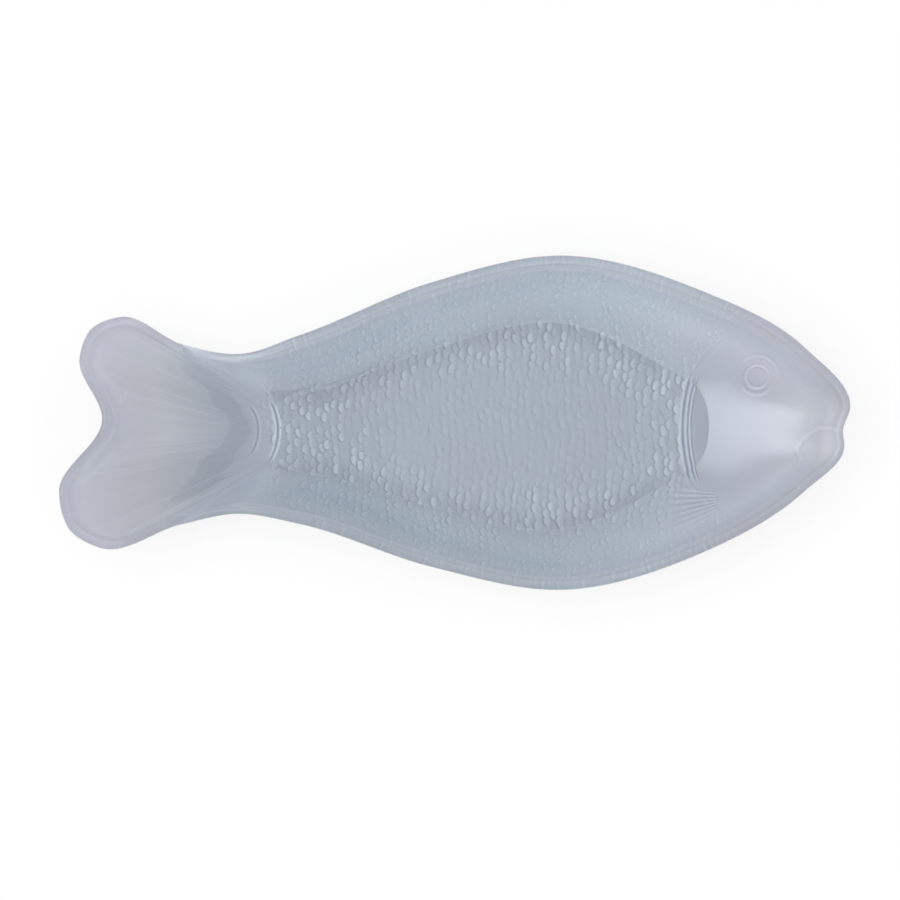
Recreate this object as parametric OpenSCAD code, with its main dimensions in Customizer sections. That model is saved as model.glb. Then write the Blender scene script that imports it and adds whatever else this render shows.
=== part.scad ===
// Fish-shaped serving dish of pressed glass, with a pearl lacquer sprayed on its back.
// Millimetres. +X runs from the tail to the mouth, +Y to the fish's back, +Z up.
// The origin is the middle of the dish's outline, on the table.

/* [Overall] */
// Length from the upper lip to the longer tail tip
tray_length = 400; // [370:5:480]
// Width across the belly, the widest place
body_width = 170; // [150:2:200]

/* [Head outline] */
// How far the mouth sits to the belly side of the long axis
mouth_offset = 4.3; // [0:0.1:8]
// Depth of the notch between the lips
mouth_depth = 3.5; // [1:0.5:8]
// Upper lip, across from the mouth notch
upper_lip = 11.3; // [8:0.1:15]
// Lower lip, across from the mouth notch
lower_lip = 8.1; // [5:0.1:12]
// How far the lower lip stays behind the upper one
jaw_set_back = 2.8; // [0:0.1:6]
// Brow and throat, behind the lips
brow_station = 23; // [16:1:32]
// Width of the head at the brow
brow_width = 72.4; // [62:0.2:88]
// How far the brow leans to the fish's back
brow_lift = 1.1; // [0:0.1:5]
// Shoulder and chest, behind the lips
shoulder_station = 76; // [64:1:90]
// Width of the head at the shoulder
head_width = 133.6; // [118:0.2:148]

/* [Body outline] */
// Belly, behind the lips
belly_station = 145; // [125:1:165]
// Width half way between the belly and the hump
flank_width = 145; // [130:1:158]
// Hump of the wavy rim, ahead of the tail tip
hump_station = 121; // [112:1:135]
// Width of the body at the hump
hump_width = 96.4; // [86:0.2:108]

/* [Tail outline] */
// Root of the tail, ahead of the tail tip
root_station = 89; // [80:1:98]
// Width of the tail's root, the narrowest place
root_width = 82; // [72:1:90]
// Neck where the tail starts to spread, ahead of the tail tip
neck_station = 61; // [52:1:70]
// Width of the tail's neck
neck_width = 92; // [84:1:104]
// Width across the two lobes of the tail
tail_span = 117; // [106:1:130]
// Widest place of the lower lobe, ahead of its tip
lobe_station = 19.5; // [15:0.5:26]
// Distance between the two tips, across
tip_spread = 68; // [58:1:78]
// How much further back the lower lobe reaches than the upper one
lobe_lag = 10; // [0:1:14]
// Depth of the fork, ahead of the longer tip
fork_depth = 21.5; // [14:0.5:28]
// How far the fork lies to the fish's back from the middle of the lobes
fork_rise = 6; // [0:0.5:10]
// How far the tail leans to the belly side of the long axis
tail_drop = 5.5; // [0:0.5:9]

/* [Rim heights at the ends] */
// Rim at the mouth notch
mouth_height = 35; // [30:0.5:42]
// Rim at the fork of the tail
fork_height = 48; // [40:0.5:56]

/* [Rim heights on the fish's back] */
// Rim at the upper lip
upper_lip_height = 38; // [30:0.5:42]
// Rim at the brow
brow_height = 42; // [34:0.5:46]
// Rim at the shoulder
shoulder_height = 39.5; // [32:0.5:46]
// Rim at the widest place of the back
back_height = 33; // [27:0.5:40]
// Rim at the back's flank
back_flank_height = 31; // [26:0.5:40]
// Rim at the back's hump
back_hump_height = 32; // [27:0.5:42]
// Rim at the tail's root
back_root_height = 24; // [20:0.5:34]
// Rim at the tail's neck
back_neck_height = 23.5; // [21:0.5:34]
// Rim at the widest place of the upper lobe
upper_lobe_height = 40.5; // [34:0.5:46]
// Rim at the upturned upper tip
upper_tip_height = 48.5; // [42:0.5:60]

/* [Rim heights on the fish's belly] */
// Rim at the lower lip
lower_lip_height = 34.5; // [30:0.5:42]
// Rim at the throat
throat_height = 33.8; // [30:0.1:44]
// Rim at the chest
chest_height = 35.3; // [30:0.1:44]
// Rim at the widest place of the belly
belly_height = 30.7; // [26:0.1:40]
// Rim at the belly's flank
belly_flank_height = 30.7; // [26:0.1:40]
// Rim at the belly's hump
belly_hump_height = 34.6; // [28:0.1:42]
// Rim at the tail's root
belly_root_height = 32; // [24:0.5:38]
// Rim at the tail's neck
belly_neck_height = 25.7; // [21:0.1:34]
// Rim at the widest place of the lower lobe
lower_lobe_height = 43; // [36:0.5:48]
// Rim at the upturned lower tip
lower_tip_height = 50; // [44:0.5:62]

/* [Well] */
// Run of the wall from the rim to the floor, at the belly and flank
wall_run = 32.5; // [26:0.5:40]
// Front end of the floor, behind the lips, where the head starts to climb
front_station = 70; // [64:1:80]
// Width of the floor at its round front end
front_width = 59; // [48:1:70]
// Length of the floor's round front end
front_round = 22; // [12:1:28]
// Ramp that climbs to the tail tip from the band where the floor ends
ramp_length = 108; // [100:1:116]
// Width of the floor at the band
band_width = 28; // [22:1:34]
// Length of the floor's round end at the band
band_round = 3; // [2:0.5:6]
// Where the underside starts to lift off the table, ahead of the tail tip
keel_station = 172; // [150:1:200]
// How far the underside has lifted at the band
keel_rise = 3.5; // [0.5:0.1:5]

/* [Glass and coat] */
// Thickness of the glass at the floor
floor_thickness = 5; // [3:0.5:7]
// Thickness of the glass at its round rim
rim_thickness = 4.5; // [3:0.5:6]
// Thickness of the pearl lacquer
lacquer_thickness = 0.1; // [0.05:0.01:0.2]
// Bare glass line round the base, which meets the table
bearing_width = 2; // [1:0.5:5]

/* [Tail rays] */
// Depth of the grooves between the tail's rays
ray_depth = 0.8; // [0.2:0.1:1.5]

/* [Hidden] */

// Places along the length
lip_x = tray_length / 2;
tip_x = -tray_length / 2;
brow_x = lip_x - brow_station;
shoulder_x = lip_x - shoulder_station;
belly_x = lip_x - belly_station;
hump_x = tip_x + hump_station;
flank_x = (belly_x + hump_x) / 2;
root_x = tip_x + root_station;
neck_x = tip_x + neck_station;
lobe_x = tip_x + lobe_station;
front_x = lip_x - front_station;
band_x = tip_x + ramp_length;
keel_x = tip_x + keel_station;

// Directions in which the floor's round ends are cut: lip, brow, shoulder, then root, neck, lobe,
// lobe corner and tip
FRONT_ANGLES = [14, 36, 90];
BAND_ANGLES = [90, 60, 42, 28, 14];
// How far the hump's foot lies from the band towards the flank's foot
hump_share = 0.36;

// The wall at each station from the mouth to the fork, as shares of its run and rise: how far out
// and up it leaves its foot, level but for the head's crease, then how far out and up it turns to the rim
BEND = [
    [0.27, 0.12, 0.67, 0.31], // mouth
    [0.27, 0.12, 0.67, 0.31], // lip
    [0.30, 0.10, 0.70, 0.33], // brow
    [0.28, 0.04, 0.72, 0.37], // shoulder
    [0.20, 0.00, 0.68, 0.35], // belly
    [0.20, 0.00, 0.68, 0.35], // flank
    [0.20, 0.00, 0.68, 0.37], // hump
    [0.22, 0.00, 0.70, 0.40], // root
    [0.25, 0.00, 0.80, 0.45], // neck
    [0.30, 0.00, 0.95, 0.42], // lobe
    [0.30, 0.00, 0.96, 0.42], // lobe corner
    [0.30, 0.00, 0.97, 0.42], // tip
    [0.30, 0.00, 0.96, 0.42], // fork
];

// Facets from each station to the next, mouth to neck, then the tail's rays from the neck to the
// lobe, its corner, the tip and the fork, and the facets of one ray
SIDE_STEPS = [4, 6, 6, 8, 8, 6, 5, 5];
TAIL_RAYS = [1, 1, 1, 3];
RAY_STEPS = 5;
OUTER_STEPS = 9;
INNER_STEPS = 6;
RIM_ANGLES = [45, 90, 135];

function mix(a, b, t) = a + (b - a) * t;
function clamp01(v) = min(1, max(0, v));
function plan(p) = [p.x, p.y];
function reversed(list) = [for (i = [len(list) - 1:-1:0]) list[i]];

// The long axis sinks to the belly side towards the tail, and the underside lifts off the table
function drop(x) = tail_drop * clamp01((belly_x - x) / (belly_x - root_x)) ^ 2;
function keel(x) = keel_rise * clamp01((keel_x - x) / (keel_x - band_x)) ^ 2;

// Stations go round anticlockwise: mouth, the fish's back (side 1), fork, its belly (side -1)
function round_trip(first, upper, last, lower) = concat([first], upper, [last], reversed(lower));

// The two sides differ in height, in the lips and in the reach of the lobes
function on_side(side, back, belly) = side > 0 ? back : belly;
function lip_rim(side) = [
    lip_x - on_side(side, 0, jaw_set_back),
    on_side(side, upper_lip, -lower_lip) - mouth_offset,
    on_side(side, upper_lip_height, lower_lip_height),
];
function lobe_rim(side) = [
    lobe_x + on_side(side, lobe_lag, 0),
    side * tail_span / 2 - tail_drop,
    on_side(side, upper_lobe_height, lower_lobe_height),
];
function tip_rim(side) = [
    tip_x + on_side(side, lobe_lag, 0),
    side * tip_spread / 2 - tail_drop + fork_rise / 2,
    on_side(side, upper_tip_height, lower_tip_height),
];
// A lobe turns from its side to its tip in a quarter of an ellipse
function lobe_corner(side) =
    let (lobe = lobe_rim(side), tip = tip_rim(side))
    [mix(lobe.x, tip.x, sin(45)), mix(tip.y, lobe.y, sin(45)), mix(lobe.z, tip.z, 0.5)];
function body_rim(side, x, width, height) = [x, side * width / 2 - drop(x), height];

function rim_side(side) = [
    lip_rim(side),
    [brow_x, side * brow_width / 2 + brow_lift, on_side(side, brow_height, throat_height)],
    body_rim(side, shoulder_x, head_width, on_side(side, shoulder_height, chest_height)),
    body_rim(side, belly_x, body_width, on_side(side, back_height, belly_height)),
    body_rim(side, flank_x, flank_width, on_side(side, back_flank_height, belly_flank_height)),
    body_rim(side, hump_x, hump_width, on_side(side, back_hump_height, belly_hump_height)),
    body_rim(side, root_x, root_width, on_side(side, back_root_height, belly_root_height)),
    body_rim(side, neck_x, neck_width, on_side(side, back_neck_height, belly_neck_height)),
    lobe_rim(side),
    lobe_corner(side),
    tip_rim(side),
];
mouth_rim = [lip_x - mouth_depth, -mouth_offset, mouth_height];
fork_rim = [tip_x + fork_depth, fork_rise - tail_drop, fork_height];

// The floor's edge, seen from above: a round front, the two sides and a short round end at the band
function front_foot(side, a) = [front_x - front_round * (1 - cos(a)), side * front_width / 2 * sin(a)];
function band_foot(side, a) =
    [band_x + band_round * (1 - cos(a)), side * band_width / 2 * sin(a) - drop(band_x)];
function flank_foot(side) = [flank_x, side * (flank_width / 2 - wall_run) - drop(flank_x)];
function foot_side(side) = concat(
    [for (a = FRONT_ANGLES) front_foot(side, a)],
    [
        [belly_x, side * (body_width / 2 - wall_run)],
        flank_foot(side),
        mix(band_foot(side, BAND_ANGLES[0]), flank_foot(side), hump_share),
    ],
    [for (a = BAND_ANGLES) band_foot(side, a)]
);

// A closed curve through stations, with tangents weighted by the distance to each neighbour
function tangent(p, i) =
    let (n = len(p), back = p[i] - p[(i + n - 1) % n], ahead = p[(i + 1) % n] - p[i])
    let (b = norm(back), a = norm(ahead))
    (back * a / b + ahead * b / a) / (a + b);
function hermite(p, i, t) =
    let (k = (i + 1) % len(p), d = norm(p[k] - p[i]))
    p[i] * (2 * t ^ 3 - 3 * t ^ 2 + 1) + tangent(p, i) * d * (t ^ 3 - 2 * t ^ 2 + t)
    + p[k] * (3 * t ^ 2 - 2 * t ^ 3) + tangent(p, k) * d * (t ^ 3 - t ^ 2);
half_steps = concat(SIDE_STEPS, TAIL_RAYS * RAY_STEPS);
STEPS = concat(half_steps, reversed(half_steps));
function closed_curve(p) =
    [for (i = [0:len(p) - 1]) for (s = [0:STEPS[i] - 1]) hermite(p, i, s / STEPS[i])];

RIM = closed_curve(round_trip(mouth_rim, rim_side(1), fork_rim, rim_side(-1)));
FEET = [
    for (f = closed_curve(round_trip(front_foot(1, 0), foot_side(1), band_foot(1, 0), foot_side(-1))))
        [f.x, f.y, keel(f.x)]
];
COUNT = len(RIM);
LAST = COUNT - 1;

// The wall's bend between stations, and the groove between two rays, 0 on a ray and 1 half way
station_bend = concat(BEND, reversed([for (i = [1:len(BEND) - 2]) BEND[i]]));
BENDS = [
    for (i = [0:len(STEPS) - 1]) for (s = [0:STEPS[i] - 1])
        mix(station_bend[i], station_bend[(i + 1) % len(STEPS)], s / STEPS[i])
];
half_rays = concat(SIDE_STEPS * 0, TAIL_RAYS);
ray_counts = concat(half_rays, reversed(half_rays));
GROOVES = [
    for (i = [0:len(STEPS) - 1]) for (s = [0:STEPS[i] - 1])
        (1 - cos(360 * ray_counts[i] * s / STEPS[i])) / 2
];

// A wall's profile is one cubic curve from its foot to its edge, in the upright plane through both
function profile(foot, edge, bend, t) =
    let (out = 3 * (1 - t) ^ 2 * t * bend[0] + 3 * (1 - t) * t ^ 2 * bend[2] + t ^ 3)
    let (up = 3 * (1 - t) ^ 2 * t * bend[1] + 3 * (1 - t) * t ^ 2 * bend[3] + t ^ 3)
    [mix(foot.x, edge.x, out), mix(foot.y, edge.y, out), mix(foot.z, edge.z, up)];
function profile_normal(foot, edge, bend, t) =
    let (run = plan(edge - foot))
    let (out = 3 * (1 - t) ^ 2 * bend[0] + 6 * (1 - t) * t * (bend[2] - bend[0]) + 3 * t ^ 2 * (1 - bend[2]))
    let (up = 3 * (1 - t) ^ 2 * bend[1] + 6 * (1 - t) * t * (bend[3] - bend[1]) + 3 * t ^ 2 * (1 - bend[3]))
    let (away = run / norm(run) * (edge.z - foot.z) * up, v = [away.x, away.y, -norm(run) * out])
    v / norm(v);

// The rim's inward direction seen from above, and a point of its half-round edge
function inward(j) =
    let (d = plan(RIM[(j + 1) % COUNT] - RIM[(j + LAST) % COUNT]))
    [-d.y, d.x] / norm(d);
function rim_point(j, angle) =
    let (n = inward(j), reach = rim_thickness / 2 * (1 - cos(angle)))
    [RIM[j].x + n.x * reach, RIM[j].y + n.y * reach, RIM[j].z - rim_thickness / 2 * (1 - sin(angle))];

// The outside of the glass has the tail's rays, and the lacquer follows it
function outer_normal(j, t) = profile_normal(FEET[j], rim_point(j, 0), BENDS[j], t);
function outer_point(j, t) =
    profile(FEET[j], rim_point(j, 0), BENDS[j], t)
    - outer_normal(j, t) * ray_depth * GROOVES[j] * 4 * t * (1 - t);
function coat_point(j, t) = outer_point(j, t) + outer_normal(j, t) * lacquer_thickness;
function inner_point(j, t) =
    profile(FEET[j] + [0, 0, floor_thickness], rim_point(j, 180), BENDS[j], t);

// Edge of the lacquered panel under the base, inside the bare bearing line
function panel_point(j, height) =
    let (f = FEET[j], x = max(band_x + band_width / 2, min(front_x - front_width / 2, f.x)))
    let (to_middle = [x, -drop(f.x)] - plan(f), p = plan(f) + to_middle / norm(to_middle) * bearing_width)
    [p.x, p.y, keel(p.x) + height];

// Rings of points, one per height, and the faces between them
function outer_ring(k) = [for (j = [0:LAST]) outer_point(j, k / OUTER_STEPS)];
function coat_ring(k) = [for (j = [0:LAST]) coat_point(j, k / OUTER_STEPS)];
function inner_ring(k) = [for (j = [0:LAST]) inner_point(j, k / INNER_STEPS)];
function rim_ring(angle) = [for (j = [0:LAST]) rim_point(j, angle)];
function panel_ring(height) = [for (j = [0:LAST]) panel_point(j, height)];

function rising(low, high) = [
    for (j = [0:LAST])
        let (n = (j + 1) % COUNT)
        for (face = [[low + j, high + j, high + n], [low + j, high + n, low + n]]) face
];
// A strip on the way back down is cut along the same lines as the rising strip that it lies against
function falling(high, low) = [
    for (j = [0:LAST])
        let (n = (j + 1) % COUNT)
        for (face = [[high + j, low + j, high + n], [high + n, low + j, low + n]]) face
];
// A flat end from slices that run from the fish's back to its belly, facing down
function cap(start) = [
    for (j = [0:COUNT / 2 - 1])
        let (a = start + j, b = start + j + 1, c = start + LAST - j, d = start + (COUNT - j) % COUNT)
        for (face = j == 0 ? [[a, b, c]] : b == c ? [[a, b, d]] : [[a, b, c], [a, c, d]]) face
];
function facing_up(faces) = [for (f = faces) reversed(f)];
function flat_list(lists) = [for (list = lists) for (item = list) item];

module capped_stack(rings) {
    top = len(rings) - 1;
    sides = [for (k = [0:top - 1]) rising(k * COUNT, (k + 1) * COUNT)];
    polyhedron(flat_list(rings), flat_list(concat([cap(0)], sides, [facing_up(cap(top * COUNT))])));
}

// A film: up along one side and back down the other
module film(up, down) {
    top = len(up) - 1;
    last = top + len(down);
    outside = [for (k = [0:top - 1]) rising(k * COUNT, (k + 1) * COUNT)];
    inside = [for (k = [top:last]) falling(k * COUNT, (k + 1) % (last + 1) * COUNT)];
    polyhedron(flat_list(concat(up, down)), flat_list(concat(outside, inside)));
}

// Puts the middle of the outline on the origin
module centred() {
    xs = [for (p = RIM) p.x];
    ys = [for (p = RIM) p.y];
    translate([-(max(xs) + min(xs)) / 2, -(max(ys) + min(ys)) / 2, 0]) children();
}

// One pressed shell: recessed base, bearing line, outside, half-round rim, inside and floor
module glass_dish() {
    color([0.70, 0.78, 0.85, 0.6])
        centred() capped_stack(concat(
            [panel_ring(lacquer_thickness), panel_ring(0)],
            [for (k = [0:OUTER_STEPS]) outer_ring(k)],
            [for (a = RIM_ANGLES) rim_ring(a)],
            [for (k = [INNER_STEPS:-1:0]) inner_ring(k)]
        ));
}

// The lacquer: a film on the outside that thins out at the rim and at the bearing line, and a panel
// in the base's recess, flush with the bearing line
module pearl_back_coat() {
    color([0.86, 0.87, 0.90])
        centred() {
            film(
                [for (k = [0:OUTER_STEPS]) k % OUTER_STEPS == 0 ? outer_ring(k) : coat_ring(k)],
                [for (k = [OUTER_STEPS - 1:-1:1]) outer_ring(k)]
            );
            capped_stack([panel_ring(0), panel_ring(lacquer_thickness)]);
        }
}

glass_dish();
pearl_back_coat();
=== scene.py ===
"""A fish-shaped serving dish: clear pressed glass with a pearl lacquer on its back, seen from above."""
import math

import bpy
import numpy as np
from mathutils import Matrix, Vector


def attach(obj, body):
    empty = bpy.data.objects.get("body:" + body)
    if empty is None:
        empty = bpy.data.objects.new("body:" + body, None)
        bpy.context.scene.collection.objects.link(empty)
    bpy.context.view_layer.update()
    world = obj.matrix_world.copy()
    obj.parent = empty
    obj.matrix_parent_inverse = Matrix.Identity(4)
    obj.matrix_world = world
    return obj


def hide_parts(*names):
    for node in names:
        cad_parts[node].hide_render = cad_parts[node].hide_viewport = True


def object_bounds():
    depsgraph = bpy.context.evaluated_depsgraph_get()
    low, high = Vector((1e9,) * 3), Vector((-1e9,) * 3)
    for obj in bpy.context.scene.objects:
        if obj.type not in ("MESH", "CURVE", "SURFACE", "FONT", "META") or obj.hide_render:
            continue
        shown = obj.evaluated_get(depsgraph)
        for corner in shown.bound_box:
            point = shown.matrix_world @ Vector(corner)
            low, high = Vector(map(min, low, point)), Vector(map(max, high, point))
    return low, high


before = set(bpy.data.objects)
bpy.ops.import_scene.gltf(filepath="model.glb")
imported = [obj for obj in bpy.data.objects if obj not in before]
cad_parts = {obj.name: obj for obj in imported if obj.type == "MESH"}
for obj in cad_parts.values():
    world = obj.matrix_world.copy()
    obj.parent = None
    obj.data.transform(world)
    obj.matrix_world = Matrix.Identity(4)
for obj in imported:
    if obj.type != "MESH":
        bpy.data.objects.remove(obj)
cad_low, cad_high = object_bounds()

# Shapes are worked out in millimetres and written to the meshes in metres
MM = 0.001

# Rim of the dish, anticlockwise from the mouth: place on the table and height
MOUTH = (196.5, -4.3, 35.0)
BACK_RIM = (
    (200.0, 7.0, 38.0),  # upper lip
    (177.0, 37.3, 42.0),  # brow
    (124.0, 66.8, 39.5),  # shoulder
    (55.0, 85.0, 33.0),  # back
    (-12.0, 71.6, 31.0),  # flank
    (-79.0, 44.6, 32.0),  # hump
    (-111.0, 35.5, 24.0),  # root of the tail
    (-139.0, 40.5, 23.5),  # neck of the tail
    (-170.5, 53.0, 40.5),  # upper lobe
    (-184.3, 46.7, 44.5),  # corner of the lobe
    (-190.0, 31.5, 48.5),  # upper tip
)
FORK = (-178.5, 0.5, 48.0)
BELLY_RIM = (
    (197.2, -12.4, 34.5),  # lower lip
    (177.0, -35.1, 33.8),  # throat
    (124.0, -66.8, 35.3),  # chest
    (55.0, -85.0, 30.7),  # belly
    (-12.0, -73.4, 30.7),  # flank
    (-79.0, -51.8, 34.6),  # hump
    (-111.0, -46.5, 32.0),  # root of the tail
    (-139.0, -51.5, 25.7),  # neck of the tail
    (-180.5, -64.0, 43.0),  # lower lobe
    (-194.3, -55.9, 46.5),  # corner of the lobe
    (-200.0, -36.5, 50.0),  # lower tip
)

# Edge of the floor: a round front, the sides and a short round end at the tail's band
FRONT_X = 130.0
FRONT_ROUND = 22.0
FRONT_HALF = 29.5
FRONT_ANGLES = (14, 36, 90)
SIDE_FEET = ((55.0, 52.5), (-12.0, 40.0))
BAND_X = -92.0
BAND_ROUND = 3.0
BAND_HALF = 14.0
BAND_ANGLES = (90, 60, 42, 28, 14)
# The hump's foot as a share of the way from the band to the flank's foot
HUMP_SHARE = 0.36
# The long axis sinks to the belly side, and the underside lifts off the table, towards the tail
TAIL_DROP = 5.5
DROP_FROM = 55.0
DROP_TO = -111.0
KEEL_FROM = -28.0
KEEL_RISE = 3.5

# How the wall bends at each station from the mouth to the fork, as shares of its run and rise: how
# far out and up it leaves its foot, level but for the head's crease, then how far it turns to the rim
BEND = (
    (0.27, 0.12, 0.67, 0.31),
    (0.27, 0.12, 0.67, 0.31),
    (0.30, 0.10, 0.70, 0.33),
    (0.28, 0.04, 0.72, 0.37),
    (0.20, 0.00, 0.68, 0.35),
    (0.20, 0.00, 0.68, 0.35),
    (0.20, 0.00, 0.68, 0.37),
    (0.22, 0.00, 0.70, 0.40),
    (0.25, 0.00, 0.80, 0.45),
    (0.30, 0.00, 0.95, 0.42),
    (0.30, 0.00, 0.96, 0.42),
    (0.30, 0.00, 0.97, 0.42),
    (0.30, 0.00, 0.96, 0.42),
)
# Rays of the tail between those stations
RAYS = (0, 0, 0, 0, 0, 0, 0, 0, 1, 1, 1, 3)
# Share of the way from one station to the next over which the first and last rays grow
RAY_GROWTH = 0.7

FLOOR_THICKNESS = 5.0
RIM_THICKNESS = 4.5

# Depths below the plain outer surface, in order: the lacquer's outside, the glass's back and the
# lacquer's inside. Both faces of the lacquer are cut deeper by the relief, the glass's back isn't.
COAT_OUTSIDE = 0.05
GLASS_BACK = 1.04
COAT_INSIDE = 1.08
# These depths and the relief fade out between two shares of the way up the wall. The lacquer's inside
# keeps a depth at the rim, which comes in between two others.
DEPTH_FADE = (0.85, 1.0)
COAT_INSIDE_AT_RIM = 0.15
AT_RIM_FROM = (0.6, 0.9)


def smoothstep(low, high, v):
    """Rises from 0 at low to 1 at high along 3s^2 - 2s^3."""
    s = np.clip((v - low) / (high - low), 0.0, 1.0)
    return s * s * (3.0 - 2.0 * s)


def smooth_fall(low, high, v):
    """Falls from 1 at low to 0 at high, as smoothstep rises."""
    return 1.0 - smoothstep(low, high, v)


def mix(a, b, share):
    """Goes straight from a to b."""
    return a + (b - a) * share


def axis_drop(x):
    """How far the long axis has sunk to the belly side: the square of the way to the tail's root."""
    return TAIL_DROP * np.clip((DROP_FROM - x) / (DROP_FROM - DROP_TO), 0.0, 1.0) ** 2


def keel(x):
    """How far the underside has lifted off the table: the square of the way to the tail's band."""
    return KEEL_RISE * np.clip((KEEL_FROM - x) / (KEEL_FROM - BAND_X), 0.0, 1.0) ** 2


def front_foot(side, degrees):
    """A point of the floor's elliptic front end."""
    a = math.radians(degrees)
    return (FRONT_X - FRONT_ROUND * (1 - math.cos(a)), side * FRONT_HALF * math.sin(a))


def band_foot(side, degrees):
    """A point of the floor's elliptic end at the tail's band."""
    a = math.radians(degrees)
    return (BAND_X + BAND_ROUND * (1 - math.cos(a)), side * BAND_HALF * math.sin(a) - axis_drop(BAND_X))


def side_feet(side):
    """Feet of the wall from the lip to the tip, on the fish's back or its belly."""
    sides = [(x, side * half - axis_drop(x)) for x, half in SIDE_FEET]
    hump = mix(np.array(band_foot(side, 90)), np.array(sides[-1]), HUMP_SHARE)
    front = [front_foot(side, a) for a in FRONT_ANGLES]
    return front + sides + [tuple(hump)] + [band_foot(side, a) for a in BAND_ANGLES]


def round_trip(first, upper, last, lower):
    """Stations anticlockwise: first, the fish's back, last, and its belly the other way."""
    return np.array([first, *upper, last, *reversed(lower)], dtype=float)


RIM_STATIONS = round_trip(MOUTH, BACK_RIM, FORK, BELLY_RIM)
FOOT_STATIONS = round_trip(front_foot(1, 0), side_feet(1), band_foot(1, 0), side_feet(-1))
BEND_STATIONS = np.array(BEND + tuple(reversed(BEND[1:-1])))
RAY_STATIONS = np.array(RAYS + tuple(reversed(RAYS)))


def segment_steps(total, guide):
    """Steps from each station to the next, by the guide's chords, the same on both sides."""
    chords = np.linalg.norm(np.roll(guide, -1, axis=0) - guide, axis=1)
    half = len(chords) // 2
    lengths = (chords[:half] + chords[half:][::-1]) / 2
    ends = np.round(np.cumsum(lengths) / lengths.sum() * total / 2).astype(int)
    steps = np.diff(ends, prepend=0)
    return np.concatenate([steps, steps[::-1]])


def ring_parameter(steps):
    """The station before each point of the ring, and the share of the way to the next."""
    station = np.repeat(np.arange(len(steps)), steps)
    start = np.repeat(np.cumsum(steps) - steps, steps)
    return station, (np.arange(steps.sum()) - start) / np.repeat(steps, steps)


def closed_curve(points, station, share):
    """Cubic curve through the stations; each tangent weighs the two chords by the other's length."""
    ahead = np.roll(points, -1, axis=0) - points
    a = np.linalg.norm(ahead, axis=1, keepdims=True)
    back = np.roll(ahead, 1, axis=0)
    b = np.roll(a, 1, axis=0)
    tangent = (back * a / b + ahead * b / a) / (a + b)
    after = (station + 1) % len(points)
    t = share[:, None]
    chord = a[station]
    return (
        points[station] * (2 * t**3 - 3 * t**2 + 1)
        + tangent[station] * chord * (t**3 - 2 * t**2 + t)
        + points[after] * (3 * t**2 - 2 * t**3)
        + tangent[after] * chord * (t**3 - t**2)
    )


class Ring:
    """The dish's outline, floor edge, wall bend and tail-ray phase at a number of places round it."""

    def __init__(self, total, guide):
        steps = segment_steps(total, guide)
        station, share = ring_parameter(steps)
        self.starts = np.append(np.cumsum(steps) - steps, steps.sum())
        after = (station + 1) % len(steps)
        self.count = len(station)
        self.rim = closed_curve(RIM_STATIONS, station, share)
        feet = closed_curve(FOOT_STATIONS, station, share)
        self.foot = np.column_stack([feet, keel(feet[:, 0])])
        self.bend = mix(BEND_STATIONS[station], BEND_STATIONS[after], share[:, None])
        self.ray_phase = RAY_STATIONS[station] * share
        rays = (RAY_STATIONS > 0).astype(float)
        from_last = np.maximum(rays[station - 1], smoothstep(0.0, RAY_GROWTH, share))
        to_next = np.maximum(rays[after], smoothstep(0.0, RAY_GROWTH, 1.0 - share))
        self.rayed = rays[station] * from_last * to_next
        along = np.roll(self.rim, -1, axis=0) - np.roll(self.rim, 1, axis=0)
        normal = np.column_stack([-along[:, 1], along[:, 0]])
        self.inward = normal / np.linalg.norm(normal, axis=1, keepdims=True)

    def rim_point(self, degrees):
        """A place on the half-round rim: 0 is its outer side, 90 its top and 180 its inner side."""
        a = math.radians(degrees)
        half = RIM_THICKNESS / 2
        plan = self.rim[:, :2] + self.inward * half * (1 - math.cos(a))
        return np.column_stack([plan, self.rim[:, 2] - half * (1 - math.sin(a))])

    def wall(self, foot, edge, t):
        """Cubic wall from foot to edge in the upright plane through both, one row of points per t."""
        out_low, up_low, out_high, up_high = (self.bend[None, :, k] for k in range(4))
        t = np.asarray(t)[:, None]
        low = 3 * (1 - t) ** 2 * t
        high = 3 * (1 - t) * t**2
        out = low * out_low + high * out_high + t**3
        up = low * up_low + high * up_high + t**3
        share = np.stack([out, out, up], axis=2)
        return foot[None] + (edge - foot)[None] * share

    def wall_normal(self, foot, edge, t):
        """Outward normal of that wall in its own upright plane, from the slope of the curve."""
        out_low, up_low, out_high, up_high = (self.bend[None, :, k] for k in range(4))
        t = np.asarray(t)[:, None]
        low = 3 * (1 - t) ** 2
        middle = 6 * (1 - t) * t
        high = 3 * t**2
        out = low * out_low + middle * (out_high - out_low) + high * (1 - out_high)
        up = low * up_low + middle * (up_high - up_low) + high * (1 - up_high)
        run = (edge - foot)[:, :2]
        length = np.linalg.norm(run, axis=1)
        away = (run / length[:, None])[None] * ((edge - foot)[None, :, 2] * up)[..., None]
        v = np.concatenate([away, -(length[None] * out)[..., None]], axis=2)
        return v / np.linalg.norm(v, axis=2, keepdims=True)


# Relief pressed into the back, as heights from its deepest places
RELIEF_TOP = 0.95
PLAIN_LEVEL = 0.40
# How far to either side a place is compared with, to tell hollows from crests
HOLLOW_REACH = 0.8

# Scales: rows run across the fish, each scale a disc whose free edge points to the tail
SCALE_ROW = 4.0
SCALE_WIDTH = 5.0
SCALE_RADIUS = 3.8
SCALE_EDGE = 0.28
SCALE_LOW = 0.35
# Rows whose scales can reach over one place
SCALE_OVERLAP = 3
# Each scale has its own step up to its free edge, more often low than high, its own place and its own
# width, as a least share and a spread
SCALE_STEP = (0.05, 0.42)
SCALE_STEP_POWER = 1.5
SCALE_JITTER = 2.0
SCALE_SQUEEZE = (0.85, 0.3)
# The rows sway along and across the fish: how far, over what length, and how much that sways in turn
SWAY_ALONG = (1.1, 9.0, 0.8, 13.0)
SWAY_ACROSS = (1.0, 11.0, 1.1, 15.0)
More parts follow.
